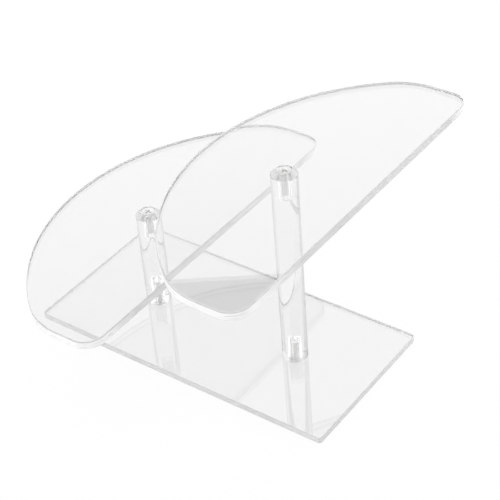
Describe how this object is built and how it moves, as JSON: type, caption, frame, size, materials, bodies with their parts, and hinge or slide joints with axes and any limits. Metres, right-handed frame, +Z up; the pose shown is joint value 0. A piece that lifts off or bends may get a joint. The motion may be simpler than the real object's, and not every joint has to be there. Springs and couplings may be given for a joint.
{
  "type": "tiered display stand",
  "caption": "Clear acrylic stand with half-moon shelves at different heights on round posts over a thin rectangular base plate, for showing headphones or other small gear.",
  "frame": {"origin": "middle of the base plate's underside, halfway between the posts", "axes": "+Z up, +X along the base plate's long side from the short post to the tall post, +Y along the shelves' length"},
  "size_m": [0.2, 0.222, 0.132],
  "materials": {
    "clear_sheet": "polished",
    "clear_bar": "polished",
    "plated_steel": "satin"
  },
  "bodies": {
    "stand": {"base_plate": "clear_sheet", "short_post": "clear_bar", "tall_post": "clear_bar", "short_post_screw": "plated_steel", "tall_post_screw": "plated_steel", "lower_shelf_screw": "plated_steel", "upper_shelf_screw": "plated_steel"},
    "lower_tier": {"lower_shelf": "clear_sheet"},
    "upper_tier": {"upper_shelf": "clear_sheet"}
  },
  "joints": [
    {"name": "lower_shelf_swivel", "type": "hinge", "parent": "stand", "child": "lower_tier", "pos_m": [-0.05, 0, 0.0665], "axis": [0, 0, 1], "range_deg": [-54.5, 54.5]},
    {"name": "upper_shelf_swivel", "type": "hinge", "parent": "stand", "child": "upper_tier", "pos_m": [0.05, 0, 0.1295], "axis": [0, 0, 1], "continuous": true}
  ]
}
